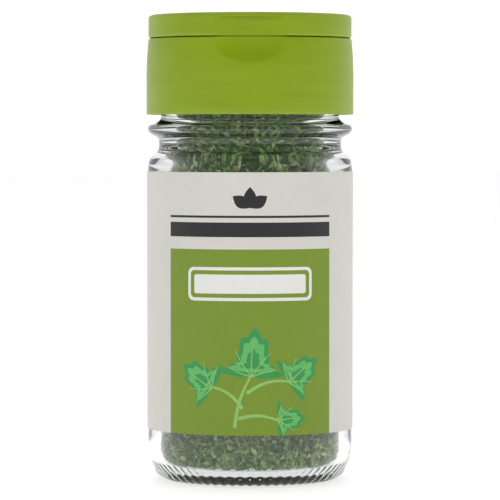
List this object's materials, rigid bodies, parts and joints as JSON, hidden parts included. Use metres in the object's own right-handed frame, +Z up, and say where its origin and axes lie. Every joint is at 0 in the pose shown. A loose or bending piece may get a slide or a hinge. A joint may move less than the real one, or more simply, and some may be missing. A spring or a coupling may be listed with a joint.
{
  "type": "jar of dried parsley",
  "caption": "Round glass spice jar filled with dried parsley flakes, with a green flip-top sifter screw cap and a paper label.",
  "frame": {"origin": "centre of the circle that the jar stands on", "axes": "+Z up along the jar's centre line; -Y is the front, where the lid's thumb notch and the label's printed panel are; +Y is the hinge side"},
  "size_m": [0.0466, 0.0466, 0.1045],
  "materials": {
    "glass": "polished",
    "green_plastic": "satin",
    "label_paper": "satin",
    "herb": "matte"
  },
  "bodies": {
    "jar": {"glass_jar": "glass", "cap_base": "green_plastic", "label": "label_paper", "dried_parsley": "herb"},
    "lid": {"flip_lid": "green_plastic"}
  },
  "joints": [
    {"name": "lid_hinge", "type": "hinge", "parent": "jar", "child": "lid", "pos_m": [0, 0.0232, 0.0992], "axis": [-1, 0, 0], "range_deg": [0, 180]}
  ]
}
